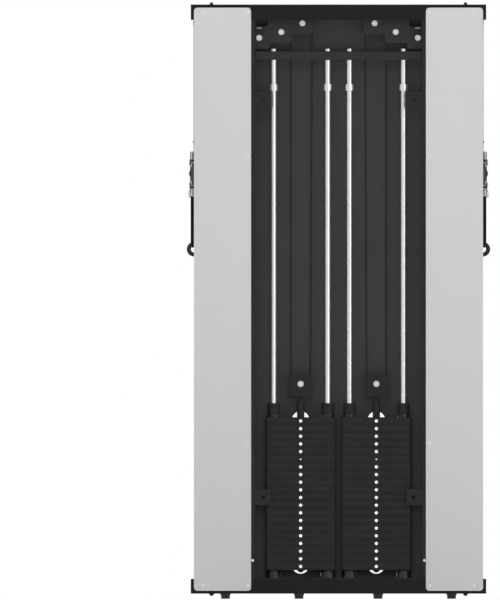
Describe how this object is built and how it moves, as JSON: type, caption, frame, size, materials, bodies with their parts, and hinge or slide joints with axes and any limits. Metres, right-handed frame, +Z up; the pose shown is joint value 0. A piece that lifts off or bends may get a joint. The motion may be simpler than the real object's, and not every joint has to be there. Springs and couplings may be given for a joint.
{
  "type": "wall pulley weight stack",
  "caption": "Wall-side pulley trainer: selector weight stacks in a steel frame lift by cables from sliding swivel carriages with strap handles.",
  "frame": {"origin": "middle of the footprint at floor level, under the centre of the overall box", "axes": "+Z up, +Y towards the user, -Y towards the wall, +X to the right when seen from the wall side"},
  "size_m": [1.062, 0.3068, 2.088],
  "materials": {
    "frame_black": "fine textured powder coat",
    "cover_black": "fine textured powder coat",
    "panel_silver": "satin silver powder coat",
    "rail_silver": "satin silver powder coat",
    "bracket_black": "fine textured powder coat",
    "carriage_black": "fine textured powder coat",
    "swivel_black": "satin powder coat",
    "plate_black": "painted iron, matt",
    "chrome": "polished",
    "stem_black": "satin",
    "bright_bolt": "zinc plated",
    "dark_bolt": "black oxide",
    "sheave_grey": "machined nylon",
    "cable_black": "coated steel cable",
    "rubber_black": "moulded rubber",
    "webbing_black": "woven webbing",
    "grip_black": "foam rubber"
  },
  "bodies": {
    "root": {"top_beam": "frame_black", "bottom_beam": "frame_black", "inner_walls": "frame_black", "front_cover": "cover_black", "rear_panels": "panel_silver", "carriage_rails": "rail_silver", "crossbar": "frame_black", "guide_rods": "chrome", "stack_bumpers": "rubber_black", "levelling_feet": "rubber_black", "frame_bolts": "dark_bolt", "pulley_axles": "bright_bolt", "panel_screws": "bright_bolt", "pulley_brackets": "bracket_black", "resting_weights": "plate_black", "fixed_cables": "cable_black", "left_stack_cables": "cable_black", "left_rail_cable": "cable_black", "left_return_cable": "cable_black", "right_stack_cables": "cable_black", "right_rail_cable": "cable_black", "right_return_cable": "cable_black"},
    "left_stack": {"left_lifted_weights": "plate_black", "left_selector_stem": "stem_black"},
    "left_selector_pin": {"left_selector_pin": "chrome"},
    "left_pop_pin": {"left_pop_pin": "chrome"},
    "left_carabiner": {"left_carabiner": "chrome"},
    "left_strap": {"left_strap": "webbing_black"},
    "left_grip": {"left_grip": "grip_black"},
    "left_carriage": {"left_carriage": "carriage_black"},
    "left_swivel": {"left_swivel_bracket": "swivel_black", "left_swivel_cable": "cable_black"},
    "left_cable_end": {"left_cable_stop": "rubber_black"},
    "left_top_inner_sheave": {"left_top_inner_sheave": "sheave_grey"},
    "left_rail_head_sheave": {"left_rail_head_sheave": "sheave_grey"},
    "left_floating_sheave": {"left_floating_sheave": "sheave_grey"},
    "left_top_middle_sheave": {"left_top_middle_sheave": "sheave_grey"},
    "left_top_outer_sheave": {"left_top_outer_sheave": "sheave_grey"},
    "left_bottom_sheave": {"left_bottom_sheave": "sheave_grey"},
    "left_swivel_upper_sheave": {"left_swivel_upper_sheave": "sheave_grey"},
    "left_swivel_lower_sheave": {"left_swivel_lower_sheave": "sheave_grey"},
    "right_stack": {"right_lifted_weights": "plate_black", "right_selector_stem": "stem_black"},
    "right_selector_pin": {"right_selector_pin": "chrome"},
    "right_pop_pin": {"right_pop_pin": "chrome"},
    "right_carabiner": {"right_carabiner": "chrome"},
    "right_strap": {"right_strap": "webbing_black"},
    "right_grip": {"right_grip": "grip_black"},
    "right_carriage": {"right_carriage": "carriage_black"},
    "right_swivel": {"right_swivel_bracket": "swivel_black", "right_swivel_cable": "cable_black"},
    "right_cable_end": {"right_cable_stop": "rubber_black"},
    "right_top_inner_sheave": {"right_top_inner_sheave": "sheave_grey"},
    "right_rail_head_sheave": {"right_rail_head_sheave": "sheave_grey"},
    "right_floating_sheave": {"right_floating_sheave": "sheave_grey"},
    "right_top_middle_sheave": {"right_top_middle_sheave": "sheave_grey"},
    "right_top_outer_sheave": {"right_top_outer_sheave": "sheave_grey"},
    "right_bottom_sheave": {"right_bottom_sheave": "sheave_grey"},
    "right_swivel_upper_sheave": {"right_swivel_upper_sheave": "sheave_grey"},
    "right_swivel_lower_sheave": {"right_swivel_lower_sheave": "sheave_grey"}
  },
  "joints": [
    {"name": "left_stack_lift", "type": "slide", "parent": "root", "child": "left_stack", "axis": [0, 0, 1], "range_m": [0, 1.05], "deforming": ["left_stack_cables"]},
    {"name": "left_selector_pin_pull", "type": "slide", "parent": "left_stack", "child": "left_selector_pin", "axis": [0, -1, 0], "range_m": [-0.075, 0]},
    {"name": "left_carriage_slide", "type": "slide", "parent": "root", "child": "left_carriage", "axis": [0, 0, 1], "range_m": [-1.08, 0.3], "deforming": ["left_rail_cable", "left_return_cable"]},
    {"name": "left_pop_pin_pull", "type": "slide", "parent": "left_carriage", "child": "left_pop_pin", "axis": [0, 1, 0], "range_m": [-0.012, 0]},
    {"name": "left_swivel_turn", "type": "hinge", "parent": "left_carriage", "child": "left_swivel", "pos_m": [-0.505, -0.08997, 1.487], "axis": [0, 0, 1], "range_deg": [0, 90]},
    {"name": "left_handle_pull", "type": "slide", "parent": "left_swivel", "child": "left_cable_end", "axis": [0, 1, 0], "range_m": [0, 2.11]},
    {"name": "left_carabiner_swing", "type": "hinge", "parent": "left_cable_end", "child": "left_carabiner", "pos_m": [-0.505, 0.07477, 1.4915], "axis": [1, 0, 0], "range_deg": [-5, 90]},
    {"name": "left_strap_swing", "type": "hinge", "parent": "left_carabiner", "child": "left_strap", "pos_m": [-0.505, 0.07477, 1.4389], "axis": [1, 0, 0], "range_deg": [-5, 60]},
    {"name": "left_top_inner_sheave_spin", "type": "hinge", "parent": "root", "child": "left_top_inner_sheave", "pos_m": [-0.1265, -0.08997, 2.0146], "axis": [0, -1, 0], "range_deg": [-10, 3550]},
    {"name": "left_rail_head_sheave_spin", "type": "hinge", "parent": "root", "child": "left_rail_head_sheave", "pos_m": [-0.471, -0.08997, 2.0146], "axis": [0, -1, 0], "range_deg": [-10, 3550]},
    {"name": "left_floating_sheave_spin", "type": "hinge", "parent": "left_stack", "child": "left_floating_sheave", "pos_m": [-0.1325, -0.08997, 0.752], "axis": [0, -1, 0], "range_deg": [-10, 1780]},
    {"name": "left_top_middle_sheave_spin", "type": "hinge", "parent": "root", "child": "left_top_middle_sheave", "pos_m": [-0.2005, -0.08997, 1.9838], "axis": [0, -1, 0], "range_deg": [-1830, 515]},
    {"name": "left_top_outer_sheave_spin", "type": "hinge", "parent": "root", "child": "left_top_outer_sheave", "pos_m": [-0.2779, -0.08997, 1.9635], "axis": [0, -1, 0], "range_deg": [-1830, 515]},
    {"name": "left_bottom_sheave_spin", "type": "hinge", "parent": "root", "child": "left_bottom_sheave", "pos_m": [-0.3459, -0.08997, 0.145], "axis": [0, -1, 0], "range_deg": [-515, 1830]},
    {"name": "left_swivel_upper_sheave_spin", "type": "hinge", "parent": "left_swivel", "child": "left_swivel_upper_sheave", "pos_m": [-0.505, -0.02797, 1.527], "axis": [1, 0, 0], "range_deg": [-10, 3140]},
    {"name": "left_swivel_lower_sheave_spin", "type": "hinge", "parent": "left_swivel", "child": "left_swivel_lower_sheave", "pos_m": [-0.505, -0.02797, 1.447], "axis": [1, 0, 0], "continuous": true},
    {"name": "left_grip_spin", "type": "hinge", "parent": "left_strap", "child": "left_grip", "pos_m": [-0.505, 0.07477, 1.2236], "axis": [0, 1, 0], "continuous": true},
    {"name": "right_stack_lift", "type": "slide", "parent": "root", "child": "right_stack", "axis": [0, 0, 1], "range_m": [0, 1.05], "deforming": ["right_stack_cables"]},
    {"name": "right_selector_pin_pull", "type": "slide", "parent": "right_stack", "child": "right_selector_pin", "axis": [0, -1, 0], "range_m": [-0.075, 0]},
    {"name": "right_carriage_slide", "type": "slide", "parent": "root", "child": "right_carriage", "axis": [0, 0, 1], "range_m": [-1.08, 0.3], "deforming": ["right_rail_cable", "right_return_cable"]},
    {"name": "right_pop_pin_pull", "type": "slide", "parent": "right_carriage", "child": "right_pop_pin", "axis": [0, 1, 0], "range_m": [-0.012, 0]},
    {"name": "right_swivel_turn", "type": "hinge", "parent": "right_carriage", "child": "right_swivel", "pos_m": [0.505, -0.08997, 1.487], "axis": [0, 0, -1], "range_deg": [0, 90]},
    {"name": "right_handle_pull", "type": "slide", "parent": "right_swivel", "child": "right_cable_end", "axis": [0, 1, 0], "range_m": [0, 2.11]},
    {"name": "right_carabiner_swing", "type": "hinge", "parent": "right_cable_end", "child": "right_carabiner", "pos_m": [0.505, 0.07477, 1.4915], "axis": [1, 0, 0], "range_deg": [-5, 90]},
    {"name": "right_strap_swing", "type": "hinge", "parent": "right_carabiner", "child": "right_strap", "pos_m": [0.505, 0.07477, 1.4389], "axis": [1, 0, 0], "range_deg": [-5, 60]},
    {"name": "right_top_inner_sheave_spin", "type": "hinge", "parent": "root", "child": "right_top_inner_sheave", "pos_m": [0.1265, -0.08997, 2.0146], "axis": [0, 1, 0], "range_deg": [-10, 3550]},
    {"name": "right_rail_head_sheave_spin", "type": "hinge", "parent": "root", "child": "right_rail_head_sheave", "pos_m": [0.471, -0.08997, 2.0146], "axis": [0, 1, 0], "range_deg": [-10, 3550]},
    {"name": "right_floating_sheave_spin", "type": "hinge", "parent": "right_stack", "child": "right_floating_sheave", "pos_m": [0.1325, -0.08997, 0.752], "axis": [0, 1, 0], "range_deg": [-10, 1780]},
    {"name": "right_top_middle_sheave_spin", "type": "hinge", "parent": "root", "child": "right_top_middle_sheave", "pos_m": [0.2005, -0.08997, 1.9838], "axis": [0, 1, 0], "range_deg": [-1830, 515]},
    {"name": "right_top_outer_sheave_spin", "type": "hinge", "parent": "root", "child": "right_top_outer_sheave", "pos_m": [0.2779, -0.08997, 1.9635], "axis": [0, 1, 0], "range_deg": [-1830, 515]},
    {"name": "right_bottom_sheave_spin", "type": "hinge", "parent": "root", "child": "right_bottom_sheave", "pos_m": [0.3459, -0.08997, 0.145], "axis": [0, 1, 0], "range_deg": [-515, 1830]},
    {"name": "right_swivel_upper_sheave_spin", "type": "hinge", "parent": "right_swivel", "child": "right_swivel_upper_sheave", "pos_m": [0.505, -0.02797, 1.527], "axis": [1, 0, 0], "range_deg": [-10, 3140]},
    {"name": "right_swivel_lower_sheave_spin", "type": "hinge", "parent": "right_swivel", "child": "right_swivel_lower_sheave", "pos_m": [0.505, -0.02797, 1.447], "axis": [1, 0, 0], "continuous": true},
    {"name": "right_grip_spin", "type": "hinge", "parent": "right_strap", "child": "right_grip", "pos_m": [0.505, 0.07477, 1.2236], "axis": [0, 1, 0], "continuous": true}
  ],
  "couplings": [
    {"joint": "left_handle_pull", "follows": "left_stack_lift", "ratio": 2},
    {"joint": "left_top_inner_sheave_spin", "follows": "left_stack_lift", "rad_per_m": 58.824},
    {"joint": "left_rail_head_sheave_spin", "follows": "left_stack_lift", "rad_per_m": 58.824},
    {"joint": "left_floating_sheave_spin", "follows": "left_stack_lift", "rad_per_m": 29.412},
    {"joint": "left_top_middle_sheave_spin", "follows": "left_carriage_slide", "rad_per_m": 29.412},
    {"joint": "left_top_outer_sheave_spin", "follows": "left_carriage_slide", "rad_per_m": 29.412},
    {"joint": "left_bottom_sheave_spin", "follows": "left_carriage_slide", "rad_per_m": -29.412},
    {"joint": "left_swivel_upper_sheave_spin", "follows": "left_stack_lift", "rad_per_m": 51.948},
    {"joint": "right_handle_pull", "follows": "right_stack_lift", "ratio": 2},
    {"joint": "right_top_inner_sheave_spin", "follows": "right_stack_lift", "rad_per_m": 58.824},
    {"joint": "right_rail_head_sheave_spin", "follows": "right_stack_lift", "rad_per_m": 58.824},
    {"joint": "right_floating_sheave_spin", "follows": "right_stack_lift", "rad_per_m": 29.412},
    {"joint": "right_top_middle_sheave_spin", "follows": "right_carriage_slide", "rad_per_m": 29.412},
    {"joint": "right_top_outer_sheave_spin", "follows": "right_carriage_slide", "rad_per_m": 29.412},
    {"joint": "right_bottom_sheave_spin", "follows": "right_carriage_slide", "rad_per_m": -29.412},
    {"joint": "right_swivel_upper_sheave_spin", "follows": "right_stack_lift", "rad_per_m": 51.948}
  ]
}
